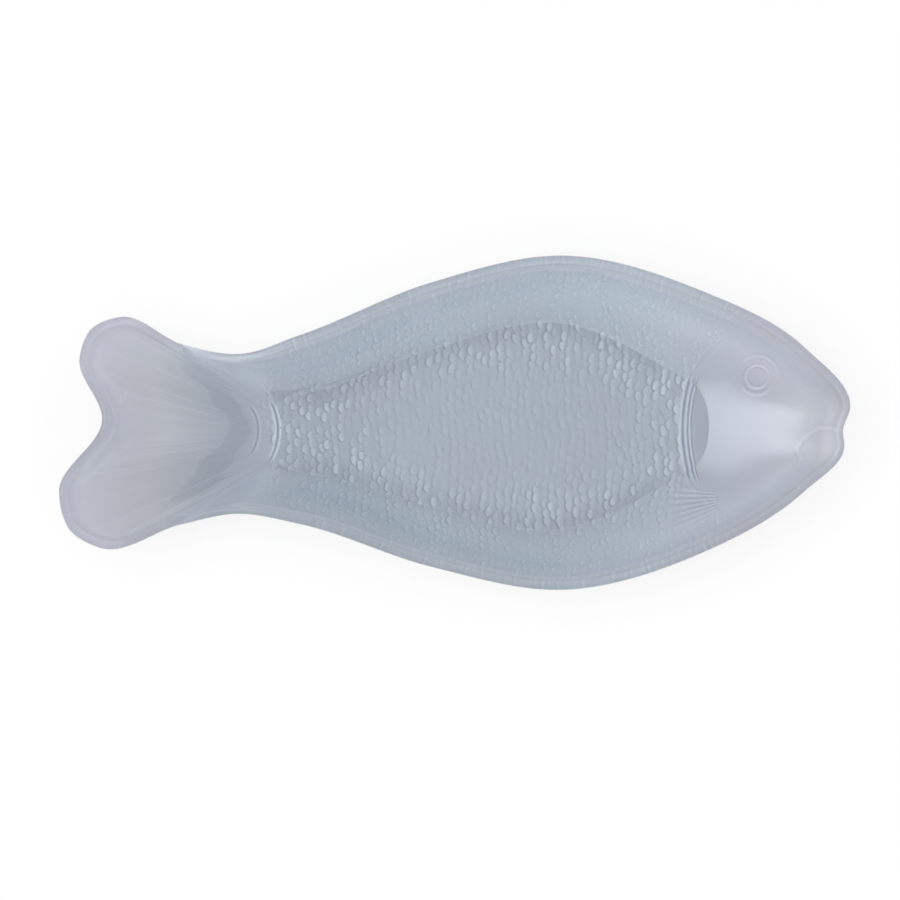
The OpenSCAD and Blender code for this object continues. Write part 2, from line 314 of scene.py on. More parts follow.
# The scales come in between these places at the tail, and fade over this length to the gill cover
SCALE_TAIL_END = (-101.0, -96.0)
SCALE_GILL_END = 2.0
# Share of the scales left in the middle of the floor, at its edge and high on the wall, by the
# distance from a centre as a share of a half length and half width
WORN_PLACE = (25.0, -2.0)
WORN_REACH = (92.0, 44.0)
WORN_SHARES = (0.24, 1.0, 0.50)
WORN_EDGE = (0.55, 1.0)
WORN_WALL = (1.15, 1.50)
# The scales follow the wall as if it were unrolled, but for the tail, with a change between these
UNROLLED_FROM = (-80.0, -55.0)

# Gill cover: grooves and ridges round one centre, each a radius, a half width and a height
GILL_CENTRE = (204.2, -1.5)
GILL_LINES = (
    (88.3, 0.95, -0.36),
    (86.8, 0.6, 0.22),
    (85.5, 0.5, -0.22),
    (84.5, 0.4, 0.18),
    (83.7, 0.4, -0.16),
)
# They lie at least so far behind the centre and end to either side, where the cover's edge leans to
# the mouth and goes up the wall as one groove of a half width and a depth
GILL_BEHIND = 50.0
GILL_FLOOR_END = (23.0, 30.0)
GILL_REACH = 29.0
GILL_LEAN = 0.95
GILL_WALL = (1.1, 0.10)
GILL_WALL_FROM = (24.0, 31.0)
GILL_WALL_END = (39.0, 51.0)

# Band of the tail: arcs round one centre, each a radius, a reach to either side and a height
TAIL_BAND_CENTRE = (-122.6, -2.6)
TAIL_BAND_LINES = ((31.4, 15.0, -0.28), (32.6, 15.0, 0.24), (21.4, 12.0, -0.22), (22.5, 12.0, 0.24))
TAIL_BAND_WIDTH = 0.6
# Each arc fades from short of its reach to beyond it
TAIL_BAND_FADE = (-3.0, 2.0)

EYE_CENTRE = (155.0, 25.0)
EYE_BOSS = (4.4, 0.10)
# Ring and lids of the eye: radius, half width and height
EYE_RING = (5.7, 0.7, 0.22)
EYE_LOWER_LID = (9.0, 0.9, 0.20)
EYE_UPPER_LID = (10.4, 0.9, 0.18)
# Angles between which each lid comes and goes, and the ring's least share, towards the mouth
EYE_LOWER_TURN = (-175.0, -140.0, -60.0, -20.0)
EYE_UPPER_TURN = (-10.0, 35.0, 110.0, 160.0)
EYE_RING_TURN = (15.0, 50.0)
EYE_RING_LEAST = 0.15

# Side fin: a fan of rays from one angle round its root to another, and the four angles and the four
# radii between which it comes and goes
FIN_ROOT = (149.0, -37.5)
FIN_ANGLES = (174.0, 212.0)
FIN_TURN = (170.0, 176.0, 208.0, 216.0)
FIN_REACH = (13.0, 18.0, 28.0, 48.0)
FIN_RAYS = 7
FIN_HEIGHT = 0.20
# Share of the height left in the lowest rays, and the angle from which it falls to that
FIN_LOWEST = 0.3
FIN_LOW_FROM = 189.0

MOUTH_LINE = ((198.0, -4.3), (187.5, -2.6), (180.0, -6.5), (175.5, -12.5), (176.8, -18.5))
MOUTH_STEPS = 8
MOUTH_HALF = 0.9
MOUTH_HEIGHT = 0.18

# Depth of the broad grooves between the tail's rays, and the fine lines on it: how many to a ray, their
# depth and their half width as a share of the way from one to the next
RAY_DEPTH = 0.14
RAY_LINES = 3.0
RAY_LINE_DEPTH = 0.12
RAY_LINE_HALF = 0.16

# Large numbers that scatter the digits of a sine, and a seed for each thing that they set
HASH_TURNS = (12.9898, 78.233)
HASH_SPREAD = 43758.5453
SEED_ALONG = 1.0
SEED_ACROSS = 2.0
SEED_WIDTH = 3.0
SEED_STEP = 4.0
SEED_LINE = 5.0


def hashed(k, m, seed):
    """A number from 0 to 1 that looks random but is fixed for two counts: the fraction of a big sine."""
    return np.mod(np.sin(k * HASH_TURNS[0] + m * HASH_TURNS[1] + seed) * HASH_SPREAD, 1.0)


def window(rise_from, rise_to, fall_from, fall_to, v):
    """Rises from 0 to 1 between the first two values, and falls back between the last two."""
    return smoothstep(rise_from, rise_to, v) * smooth_fall(fall_from, fall_to, v)


def swayed(place, other, sway):
    """A place moved by a sine of the other direction, whose phase is a sine of the place itself."""
    size, length, bend, bend_length = sway
    return place + size * np.sin(other / length + bend * np.sin(place / bend_length))


def scale_relief(x, y):
    """Height of overlapping scales: each row covers the one behind it, and rises to its free edge."""
    x = swayed(x, y, SWAY_ALONG)
    y = swayed(y, x, SWAY_ACROSS)
    height = np.full_like(x, SCALE_LOW)
    row = np.floor(x / SCALE_ROW)
    for ahead in range(SCALE_OVERLAP):
        k = row + ahead
        shift = 0.5 * np.mod(k, 2)
        m = np.round(y / SCALE_WIDTH - shift)
        dx = k * SCALE_ROW - x + SCALE_JITTER * (hashed(k, m, SEED_ALONG) - 0.5)
        dy = y - (m + shift) * SCALE_WIDTH + SCALE_JITTER * (hashed(k, m, SEED_ACROSS) - 0.5)
        squeeze = SCALE_SQUEEZE[0] + SCALE_SQUEEZE[1] * hashed(k, m, SEED_WIDTH)
        cover = smooth_fall(1.0 - SCALE_EDGE, 1.0, np.hypot(dx, dy * squeeze) / SCALE_RADIUS)
        step = mix(*SCALE_STEP, hashed(k, m, SEED_STEP) ** SCALE_STEP_POWER)
        height = mix(height, SCALE_LOW + step * smoothstep(0.0, 1.0, dx / SCALE_RADIUS), cover)
    return height


def worn(x, y):
    """How much of the scales is left: little in the middle, all at the floor's edge, less on the wall."""
    out = np.hypot((x - WORN_PLACE[0]) / WORN_REACH[0], (y - WORN_PLACE[1]) / WORN_REACH[1])
    middle, edge, wall = WORN_SHARES
    return mix(middle, edge, smoothstep(*WORN_EDGE, out)) + (wall - edge) * smoothstep(*WORN_WALL, out)


def gill_line(y):
    """Where the gill cover ends along the length: an arc over the floor, then a lean to the mouth."""
    across = np.abs(y - GILL_CENTRE[1])
    arc = GILL_CENTRE[0] - np.sqrt(GILL_LINES[0][0] ** 2 - np.minimum(across, GILL_REACH) ** 2)
    return arc + GILL_LEAN * np.maximum(across - GILL_REACH, 0.0)


def distance_to_path(x, y, path):
    """Least distance from each place to a chain of straight runs."""
    best = np.full(x.shape, np.inf)
    for start, end in zip(path[:-1], path[1:]):
        run = end - start
        along = np.clip(((x - start[0]) * run[0] + (y - start[1]) * run[1]) / (run @ run), 0.0, 1.0)
        best = np.minimum(best, np.hypot(x - start[0] - along * run[0], y - start[1] - along * run[1]))
    return best


def smooth_path(points, steps):
    """Smooth chain through given points: a cubic from one to the next, bent by their neighbours."""
    p = np.array(points)
    p = np.vstack([2 * p[0] - p[1], p, 2 * p[-1] - p[-2]])
    t = np.linspace(0.0, 1.0, steps, endpoint=False)[None, :, None]
    a, b, c, d = (p[k : len(p) - 3 + k][:, None] for k in range(4))
    square = (2 * a - 5 * b + 4 * c - d) * t**2
    cube = (3 * b - a - 3 * c + d) * t**3
    curve = 0.5 * (2 * b + (c - a) * t + square + cube)
    return np.vstack([curve.reshape(-1, 2), p[-2]])


def ridge(distance, width):
    """A round-topped line: exp of minus the square of the distance over its half width."""
    return np.exp(-((distance / width) ** 2))


def gill_relief(x, y):
    """Fine arcs at the back of the gill cover, and its edge going up the wall."""
    from_centre = np.hypot(x - GILL_CENTRE[0], y - GILL_CENTRE[1])
    across = np.abs(y - GILL_CENTRE[1])
    on_floor = smooth_fall(*GILL_FLOOR_END, across) * (x < GILL_CENTRE[0] - GILL_BEHIND)
    height = sum(tall * ridge(from_centre - radius, width) for radius, width, tall in GILL_LINES) * on_floor
    slant = 1.0 / math.hypot(1.0, GILL_LEAN)
    width, deep = GILL_WALL
    on_wall = window(*GILL_WALL_FROM, *GILL_WALL_END, across)
    return height - deep * ridge((x - gill_line(y)) * slant, width) * on_wall


def tail_band_relief(x, y):
    """Two arcs across the root of the tail, each a groove beside a ridge."""
    from_centre = np.hypot(x - TAIL_BAND_CENTRE[0], y - TAIL_BAND_CENTRE[1])
    across = np.abs(y - TAIL_BAND_CENTRE[1])
    height = np.zeros_like(x)
    for radius, reach, tall in TAIL_BAND_LINES:
        near = smooth_fall(*TAIL_BAND_FADE, across - reach) * (x > TAIL_BAND_CENTRE[0])
        height = height + tall * ridge(from_centre - radius, TAIL_BAND_WIDTH) * near
    return height


def round_a_centre(x, y, centre):
    """Distance from a centre and the angle round it in degrees, anticlockwise from the mouth's side."""
    dx = x - centre[0]
    dy = y - centre[1]
    return np.hypot(dx, dy), np.degrees(np.arctan2(dy, dx))


def eye_relief(x, y):
    """A domed pupil, a ring round it that fades towards the mouth, and a lid above and below."""
    r, turn = round_a_centre(x, y, EYE_CENTRE)
    size, tall = EYE_BOSS
    height = tall * np.sqrt(np.clip(1.0 - (r / size) ** 2, 0.0, 1.0))
    ring = mix(EYE_RING_LEAST, 1.0, smoothstep(*EYE_RING_TURN, np.abs(turn)))
    upper = window(*EYE_UPPER_TURN, turn)
    lower = window(*EYE_LOWER_TURN, turn)
    for (radius, width, tall), where in ((EYE_RING, ring), (EYE_UPPER_LID, upper), (EYE_LOWER_LID, lower)):
        height = height + tall * ridge(r - radius, width) * where
    return height


def fin_relief(x, y):
    """A fan of fine rays behind the gill cover, spreading to the tail, and how much of it is there."""
    r, turn = round_a_centre(x, y, FIN_ROOT)
    turn = np.mod(turn, 360.0)
    first, last = FIN_ANGLES
    inside = window(*FIN_TURN, turn) * window(*FIN_REACH, r)
    rays = 0.5 + 0.5 * np.cos(2.0 * np.pi * FIN_RAYS * (turn - first) / (last - first))
    return FIN_HEIGHT * rays * mix(1.0, FIN_LOWEST, smoothstep(FIN_LOW_FROM, last, turn)), inside


def mouth_relief(x, y):
    """The line of the mouth, which curls down at its corner."""
    return MOUTH_HEIGHT * ridge(distance_to_path(x, y, smooth_path(MOUTH_LINE, MOUTH_STEPS)), MOUTH_HALF)


def back_relief(x, y, unrolled):
    """Depth of the pressed relief below its top: scales on the body, then the fish's other features."""
    edge = gill_line(y)
    scaled = smooth_fall(edge - SCALE_GILL_END, edge, x) * smoothstep(*SCALE_TAIL_END, x)
    rays, fin = fin_relief(x, y)
    scales = scale_relief(x, unrolled) - PLAIN_LEVEL
    level = PLAIN_LEVEL + mix(scales * scaled * worn(x, y), rays, fin)
    level = level + gill_relief(x, y) + tail_band_relief(x, y) + eye_relief(x, y) + mouth_relief(x, y)
    return RELIEF_TOP - np.clip(level, 0.0, RELIEF_TOP)


def hollows(x, y, unrolled):
    """How much deeper the relief is at a place than the mean of four places round it."""
    d = HOLLOW_REACH
    along = back_relief(x + d, y, unrolled) + back_relief(x - d, y, unrolled)
    across = back_relief(x, y + d, unrolled + d) + back_relief(x, y - d, unrolled - d)
    return back_relief(x, y, unrolled) - (along + across) / 4.0


def midway(t):
    """1 half way up the wall and 0 at both ends, as 4t(1 - t), in one row per t."""
    return (4.0 * t * (1.0 - t))[:, None]


def tail_wave(ring, t):
    """Depth of the tail's broad grooves between rays, fading at both ends."""
    wave = (1.0 - np.cos(2.0 * np.pi * ring.ray_phase)) / 2.0 * ring.rayed
    return RAY_DEPTH * wave[None] * midway(t)


def tail_lines(ring, t):
    """Depth of the fine lines on the tail, each of its own strength."""
    place = RAY_LINES * ring.ray_phase
    nearest = np.round(place)
    on_back = ring.rim[:, 1] > 0.0
    line = ridge(np.abs(place - nearest), RAY_LINE_HALF) * hashed(nearest, on_back, SEED_LINE) ** 2
    return RAY_LINE_DEPTH * (line * ring.rayed)[None] * midway(t)


def wall_place(ring, t):
    """Where the plain outer wall is along and across the fish, and across it with the wall unrolled."""
    plain = ring.wall(ring.foot, ring.rim_point(0), t)
    steps = np.linalg.norm(np.diff(plain, axis=0), axis=2)
    length = np.vstack([np.zeros(ring.count), np.cumsum(steps, axis=0)])
    x = plain[..., 0]
    y = plain[..., 1]
    unrolled = ring.foot[None, :, 1] + np.sign(ring.foot[None, :, 1]) * length
    return x, y, mix(y, unrolled, smoothstep(*UNROLLED_FROM, x))


def below_wall(ring, t, base, relief, at_rim=0.0):
    """A surface below the plain outer wall by a base depth and the tail's waves, with relief or without.

    All of that fades out at the rim, and the depth at the rim comes in instead.
    """
    edge = ring.rim_point(0)
    depth = base + tail_wave(ring, t)
    if relief:
        depth = depth + back_relief(*wall_place(ring, t)) + tail_lines(ring, t)
    depth = depth * smooth_fall(*DEPTH_FADE, t)[:, None] + at_rim * smoothstep(*AT_RIM_FROM, t)[:, None]
    normal = ring.wall_normal(ring.foot, edge, t)
    return ring.wall(ring.foot, edge, t) - normal * depth[..., None]


def floor_lines(ring, cuts):
    """Places on straight lines across the floor from the fish's back to its belly, from front to rear."""
    j = np.arange(1, ring.count // 2)
    share = np.linspace(0.0, 1.0, cuts + 1)[None, :, None]
    return mix(ring.foot[j][:, None, :2], ring.foot[ring.count - j][:, None, :2], share)


def over_floor(plan, depth):
    """A surface above the plain underside of the floor by a depth."""
    return np.dstack([plan, keel(plan[..., 0]) + depth])


def band_quads(low, high):
    """Quads between two closed rings of vertex numbers, facing out when high lies above low."""
    return np.column_stack([low, np.roll(low, -1), np.roll(high, -1), high])


def stack_quads(rows):
    """Quads of a stack of closed rings, one row of vertex numbers each."""
    return np.vstack([band_quads(low, high) for low, high in zip(rows[:-1], rows[1:])])


def sheet_quads(grid):
    """Quads of an open grid of vertex numbers, facing as a stack of rings does."""
    corners = (grid[:-1, :-1], grid[:-1, 1:], grid[1:, 1:], grid[1:, :-1])
    return np.stack(corners, axis=2).reshape(-1, 4)


def border(grid):
    """Vertex numbers round an open grid, once round from its first corner."""
    return np.concatenate([grid[0], grid[1:, -1], grid[-1, -2::-1], grid[-2:0:-1, 0]])


def floor_faces(ring_numbers, inner_numbers):
    """Quads and end triangles of a floor inside a ring, facing down."""
    count = len(ring_numbers)
    j = np.arange(1, count // 2)
    lines = np.column_stack([ring_numbers[j], inner_numbers, ring_numbers[count - j]])
    front = np.full(lines.shape[1] - 1, ring_numbers[0])
    rear = np.full(lines.shape[1] - 1, ring_numbers[count // 2])
    triangles = np.vstack([
        np.column_stack([front, lines[0, 1:], lines[0, :-1]]),
        np.column_stack([rear, lines[-1, :-1], lines[-1, 1:]]),
    ])
    return sheet_quads(lines), triangles


# Edges sharper than this are left sharp: the sides of the lacquer's films
SHARP_ANGLE = math.radians(55.0)


def put_faces(mesh, quads, triangles):
    """Writes faces of four corners, then those of three, into a mesh as one run of corners."""
    corners = np.concatenate([quads.ravel(), triangles.ravel()])
    mesh.loops.add(len(corners))
    mesh.loops.foreach_set("vertex_index", corners)
    sizes = np.concatenate([np.full(len(quads), 4), np.full(len(triangles), 3)])
    mesh.polygons.add(len(sizes))
    mesh.polygons.foreach_set("loop_start", np.cumsum(sizes) - sizes)


def smooth_but_creased(mesh, creased):
    """Shades a mesh smooth, but for its sharp edges and those between two creased vertices."""
    mesh.shade_smooth()
    mesh.set_sharp_from_angle(angle=SHARP_ANGLE)
    ends = np.empty(2 * len(mesh.edges), dtype=np.int32)
    mesh.edges.foreach_get("vertices", ends)
    sharp = np.empty(len(mesh.edges), dtype=bool)
    mesh.edges.foreach_get("use_edge_sharp", sharp)
    sharp |= np.isin(ends.reshape(-1, 2), creased).all(axis=1)
    mesh.edges.foreach_set("use_edge_sharp", sharp)


class Shell:
    """Collects grids of points and their faces, then makes one smooth mesh of them."""

    def __init__(self):
        self.points = []
        self.painted_shade = []
        self.outside = []
        self.total = 0
        self.quads = [np.empty((0, 4), dtype=int)]
        self.triangles = [np.empty((0, 3), dtype=int)]

    def add(self, points, painted_shade=0.0, outside=0.0):
        """Adds a grid of points, the painted shade and how far outside each is, and gives back their
        numbers.
        """
        flat = points.reshape(-1, 3)
        self.painted_shade.append(np.broadcast_to(painted_shade, points.shape[:-1]).ravel())
        self.outside.append(np.broadcast_to(outside, points.shape[:-1]).ravel())
        numbers = self.total + np.arange(len(flat)).reshape(points.shape[:-1])
        self.points.append(flat)
        self.total += len(flat)
        return numbers

    def stack(self, rows):
        """Joins rows of ring numbers."""
        self.quads.append(stack_quads(rows))

    def film(self, outer, inner):
        """Joins two open grids, back to back, along their borders."""
        self.quads.append(sheet_quads(outer))
        self.quads.append(sheet_quads(inner)[:, ::-1])
        self.quads.append(band_quads(border(inner), border(outer)))

    def floor(self, ring_numbers, inner_numbers, up=False):
        """Closes a ring with a floor, facing down or up."""
        for faces, kept in zip(floor_faces(ring_numbers, inner_numbers), (self.quads, self.triangles)):
            kept.append(faces[:, ::-1] if up else faces)

    def build(self, name, material, creased=()):
        """Writes the mesh in metres, kept inside the solids' box, sharp along the creased vertices."""
        points = np.clip(np.vstack(self.points) * MM, np.array(cad_low), np.array(cad_high))
        mesh = bpy.data.meshes.new(name)
        mesh.vertices.add(len(points))
        mesh.vertices.foreach_set("co", points.ravel())
        put_faces(mesh, np.vstack(self.quads), np.vstack(self.triangles))
        # The painted shade is kept at the points, for the lacquer's colour
        for kept, values in (("painted_shade", self.painted_shade), ("outside", self.outside)):
            attribute = mesh.attributes.new(kept, "FLOAT", "POINT")
            attribute.data.foreach_set("value", np.concatenate(values).astype(np.float32))
        mesh.update(calc_edges=True)
        mesh.validate()
        smooth_but_creased(mesh, creased)
        mesh.materials.append(material)
        piece = bpy.data.objects.new(name, mesh)
        bpy.context.scene.collection.objects.link(piece)
        return piece


GLASS_RING = 800
GLASS_WALL_ROWS = 20
GLASS_FLOOR_CUTS = 24
GLASS_INSIDE_ROWS = 30
GLASS_RIM_ANGLES = (20, 40, 60, 80, 100, 120, 140, 160)
# The wall leaves the floor with a crease where it starts this steep
CREASE_BEND = 0.02


def glass_dish(material):
    """The pressed shell: a plain back under the lacquer, a half-round rim and a smooth inside."""
    ring = Ring(GLASS_RING, RIM_STATIONS)
    shell = Shell()
    outside = shell.add(below_wall(ring, np.linspace(0.0, 1.0, GLASS_WALL_ROWS + 1), GLASS_BACK, False))
    rim = shell.add(np.stack([ring.rim_point(a) for a in GLASS_RIM_ANGLES]))
    foot = ring.foot + np.array([0.0, 0.0, FLOOR_THICKNESS])
    inside = shell.add(ring.wall(foot, ring.rim_point(180), np.linspace(1.0, 0.0, GLASS_INSIDE_ROWS + 1)))
    shell.stack(np.vstack([outside, rim, inside]))
    plan = floor_lines(ring, GLASS_FLOOR_CUTS)[:, 1:-1]
    shell.floor(outside[0], shell.add(over_floor(plan, GLASS_BACK)))
    shell.floor(inside[-1], shell.add(over_floor(plan, FLOOR_THICKNESS)), up=True)
    return shell.build("glass_shell", material, inside[-1][ring.bend[:, 1] > CREASE_BEND])


# The lacquer on the wall is in four pieces: name, first and last station, counted from the mouth
COAT_PIECES = (
    ("head_lacquer", -3, 3),
    ("back_lacquer", 3, 7),
    ("tail_lacquer", 7, 17),
    ("belly_lacquer", 17, 21),
)
COAT_RING = 1800
COAT_WALL_ROWS = 90
# Its rows are crowded towards the floor by a power, and end at this share of the way up
COAT_CROWD = 1.25
COAT_TOP = 0.998
# Shares of the way up the wall between which the lacquer's bare outside stops being duller
DULL_UP_TO = (0.80, 0.97)
# The lacquer is darker towards the rim, by the share of the way up, though not on the tail, and has
# painted light on the fish's back and at the tips of the tail, as painted-shade depths and places on the
# fish
RIM_DARKER = 0.05
RIM_DARKER_FROM = (0.78, 0.96)
RIM_DARKER_TAIL = (-150.0, -115.0)
BACK_PAINTED_LIGHT = 0.035
BACK_PAINTED_LIGHT_FROM = (8.0, 40.0)
TIP_PAINTED_LIGHT = 0.05
TIP_PAINTED_LIGHT_FROM = (-195.0, -160.0)

FLOOR_RING = 1200
FLOOR_CUTS = 150
# Painted shade darkens the lacquer along the edge of the floor, at the foot of the wall, by this depth over
# these distances from the edge, and not at the tail's band or before the gill cover
EDGE_PAINTED_SHADE_DEPTH = 0.045
EDGE_PAINTED_SHADE_REACH = (1.0, 13.0)
EDGE_PAINTED_SHADE_REAR = (-88.0, -75.0)
EDGE_PAINTED_SHADE_FRONT = (95.0, 112.0)


def coat(name, outer, inner, painted_shade, outside, material):
    """A closed film of lacquer from its outer and inner side."""
    shell = Shell()
    shell.film(shell.add(outer, painted_shade, outside), shell.add(inner, painted_shade))
    return shell.build(name, material)


def wall_darkening_and_painted_light(x, y, t):
    """How the wall's colour varies, as painted-shade depths: darker at the rim, painted light on back and
    tips.
    """
    at_rim = RIM_DARKER * smoothstep(*RIM_DARKER_FROM, t)[:, None] * smoothstep(*RIM_DARKER_TAIL, x)
    on_back = BACK_PAINTED_LIGHT * smoothstep(*BACK_PAINTED_LIGHT_FROM, y)
    return at_rim - on_back - TIP_PAINTED_LIGHT * smooth_fall(*TIP_PAINTED_LIGHT_FROM, x)


def wall_coats(material):
    """The lacquer on the wall: films either side of the glass's back, bare at the rim."""
    ring = Ring(COAT_RING, RIM_STATIONS)
    t = COAT_TOP * np.linspace(0.0, 1.0, COAT_WALL_ROWS + 1) ** COAT_CROWD
    outer = below_wall(ring, t, COAT_OUTSIDE, True)
    inner = below_wall(ring, t, COAT_INSIDE, True, COAT_INSIDE_AT_RIM)
    x, y, unrolled = wall_place(ring, t)
    # Painted shade in the relief's hollows and painted highlight on its crests, plus the wall's darker rim
    # and painted light
    painted_shade = hollows(x, y, unrolled) + wall_darkening_and_painted_light(x, y, t)
    outside = smooth_fall(*DULL_UP_TO, t)[:, None]
    stations = len(ring.starts) - 1
    pieces = []
    for name, first, last in COAT_PIECES:
        start = ring.starts[first] if first >= 0 else ring.starts[first + stations] - ring.count
        cut = (slice(None), np.arange(start, ring.starts[last] + 1) % ring.count)
        pieces.append(coat(name, outer[cut], inner[cut], painted_shade[cut], outside, material))
    return pieces


def painted_edge_shade(plan):
    """How much painted shade the floor's edge gets: most at the ends of the lines across the floor, less
    inwards.
    """
    x = plan[..., 0]
    to_back = np.linalg.norm(plan - plan[:, :1], axis=2)
    to_belly = np.linalg.norm(plan - plan[:, -1:], axis=2)
    near = smooth_fall(*EDGE_PAINTED_SHADE_REACH, np.minimum(to_back, to_belly))
    return EDGE_PAINTED_SHADE_DEPTH * near * window(*EDGE_PAINTED_SHADE_REAR, *EDGE_PAINTED_SHADE_FRONT, x)


def floor_coats(material):
    """The lacquer under the floor: a front and a rear film either side of the glass's underside."""
    plan = floor_lines(Ring(FLOOR_RING, FOOT_STATIONS), FLOOR_CUTS)
    place = (plan[..., 0], plan[..., 1], plan[..., 1])
    relief = back_relief(*place)
    outer = over_floor(plan, COAT_OUTSIDE + relief)
    inner = over_floor(plan, COAT_INSIDE + relief)
    # Painted shade in the relief's hollows and along the floor's edge, painted highlight on its crests
    painted_shade = hollows(*place) + painted_edge_shade(plan)
    half = len(plan) // 2
    halves = (("front_floor_lacquer", slice(0, half + 1)), ("rear_floor_lacquer", slice(half, None)))
    return [coat(name, outer[cut], inner[cut], painted_shade[cut], 1.0, material) for name, cut in halves]


def new_material(name):
    """A material with the tree of its nodes and its Principled shader."""
    material = bpy.data.materials.new(name)
    material.use_nodes = True
    tree = material.node_tree
    return material, tree, tree.nodes["Principled BSDF"]


def feed(tree, socket, value):
    """Joins a socket to another node's output, or sets it to a constant."""
    if isinstance(value, bpy.types.NodeSocket):
        tree.links.new(value, socket)
    else:
        socket.default_value = value


def reckoned(tree, operation, *values):
    """What a Math node makes of its values."""
    node = tree.nodes.new("ShaderNodeMath")
    node.operation = operation
    for socket, value in zip(node.inputs, values):
        feed(tree, socket, value)
    return node.outputs["Value"]


def remapped(tree, value, before=(0.0, 1.0), after=(0.0, 1.0), way="LINEAR"):
    """A value carried over from one range to another, and held at its ends."""
    node = tree.nodes.new("ShaderNodeMapRange")
    node.interpolation_type = way
    for name, level in zip(("From Min", "From Max", "To Min", "To Max"), (*before, *after)):
        node.inputs[name].default_value = level
    tree.links.new(value, node.inputs["Value"])
    return node.outputs["Result"]


def ramped(tree, value, stops):
    """A colour by a value, going straight from one stop's colour to the next."""
    node = tree.nodes.new("ShaderNodeValToRGB")
    elements = node.color_ramp.elements
    for _ in stops[2:]:
        elements.new(0.5)
    for element, (place, colour) in zip(elements, stops):
        element.position = place
        element.color = (*colour, 1.0)
    tree.links.new(value, node.inputs["Fac"])
    return node.outputs["Color"]


def multiplied(tree, colour, by, share=1.0):
    """A colour times another colour or a level, by a share of the way."""
    node = tree.nodes.new("ShaderNodeMix")
    node.data_type = "RGBA"
    node.blend_type = "MULTIPLY"
    feed(tree, node.inputs["Factor"], share)
    feed(tree, node.inputs["A"], colour)
    feed(tree, node.inputs["B"], by)
    return node.outputs["Result"]


def kept_value(tree, name):
    """A value that the mesh keeps at its points."""
    node = tree.nodes.new("ShaderNodeAttribute")
    node.attribute_name = name
    return node.outputs["Fac"]


# Clouds: the finer noise in them, its strength, and the middle part of the noise that is spread out
CLOUD_DETAIL = 3.0
CLOUD_FINE = 0.55
CLOUD_MIDDLE = (0.3, 0.7)


def cloud_group():
    """Soft uneven clouds over a surface, from noise with finer noise in it, as a value from 0 to 1."""
    group = bpy.data.node_groups.new("Soft clouds", "ShaderNodeTree")
    group.interface.new_socket("Vector", in_out="INPUT", socket_type="NodeSocketVector")
    group.interface.new_socket("Patches per metre", in_out="INPUT", socket_type="NodeSocketFloat")
    group.interface.new_socket("Clouds", in_out="OUTPUT", socket_type="NodeSocketFloat")
    enter = group.nodes.new("NodeGroupInput")
    leave = group.nodes.new("NodeGroupOutput")
    noise = group.nodes.new("ShaderNodeTexNoise")
    noise.inputs["Detail"].default_value = CLOUD_DETAIL
    noise.inputs["Roughness"].default_value = CLOUD_FINE
    group.links.new(enter.outputs["Vector"], noise.inputs["Vector"])
    group.links.new(enter.outputs["Patches per metre"], noise.inputs["Scale"])
    group.links.new(remapped(group, noise.outputs["Fac"], CLOUD_MIDDLE), leave.inputs["Clouds"])
    return group


def add_clouds(tree, group, patches):
    """Places the clouds in a material, and gives the piece's own coordinates and the clouds on them."""
    place = tree.nodes.new("ShaderNodeTexCoord").outputs["Object"]
    clouds = tree.nodes.new("ShaderNodeGroup")
    clouds.node_tree = group
    clouds.inputs["Patches per metre"].default_value = patches
    tree.links.new(place, clouds.inputs["Vector"])
    return place, clouds.outputs["Clouds"]


# Glass: its tint and bending of light, and how rough and how wavy the mould left its skin
GLASS_TINT = (0.93, 0.965, 0.985, 1.0)
GLASS_IOR = 1.5
GLASS_PATCHES = 60.0
GLASS_ROUGHNESS = (0.015, 0.05)
GLASS_WAVE_SHARE = 0.05
GLASS_WAVE_HEIGHT = 0.0004


def clear_glass(group):
    """Pressed clear glass: a faint blue tint, and a skin that is a little uneven from the mould."""
    material, tree, shader = new_material("clear_pressed_glass")
    shader.inputs["Base Color"].default_value = GLASS_TINT
    shader.inputs["IOR"].default_value = GLASS_IOR
    shader.inputs["Transmission Weight"].default_value = 1.0
    _, clouds = add_clouds(tree, group, GLASS_PATCHES)
    tree.links.new(remapped(tree, clouds, after=GLASS_ROUGHNESS), shader.inputs["Roughness"])
    bump = tree.nodes.new("ShaderNodeBump")
    bump.inputs["Strength"].default_value = GLASS_WAVE_SHARE
    bump.inputs["Distance"].default_value = GLASS_WAVE_HEIGHT
    tree.links.new(clouds, bump.inputs["Height"])
    tree.links.new(bump.outputs["Normal"], shader.inputs["Normal"])
    return material


PEARL_METALLIC = 0.30
PEARL_IOR = 1.5
PEARL_ROUGHNESS = (0.28, 0.36)
# Colour of the lacquer by its share of the way up to a height in metres: a grey-blue tint,
# with painted light that makes it lighter up the wall and darker low on the dish
PEARL_HEIGHT = 0.045
PEARL_PAINTED_LIGHT_BY_HEIGHT = (
    (0.06, (0.53, 0.585, 0.66)),
    (0.20, (0.575, 0.62, 0.69)),
    (0.40, (0.67, 0.71, 0.765)),
    (1.00, (0.69, 0.72, 0.78)),
)
# It is clouded with a trace of green and of pink
PEARL_PATCHES = 22.0
PEARL_CLOUDS = ((0.0, (0.975, 1.0, 0.995)), (1.0, (1.0, 0.985, 1.0)))
# It turns to lavender towards the head and the tail, over these distances from the middle in metres
LAVENDER = (1.02, 0.965, 0.97, 1.0)
LAVENDER_FROM = (0.100, 0.145)
# Its bare outside is duller than the side behind the glass
OUTSIDE_SHARE = 0.60
# Painted sheen: how much paler the pearl is where it is seen aslant, and over what part of the facing
# weight
PAINTED_SHEEN_FROM = (0.015, 0.10)
PAINTED_SHEEN_SHARE = 1.30
# Painted shade darkens the hollows of the relief and a painted highlight lightens its crests: depth and
# share of the colour
PAINTED_SHADE_DEPTH = 0.10
PAINTED_SHADE_SHARE = 0.66
PAINTED_HIGHLIGHT_SHARE = 1.14


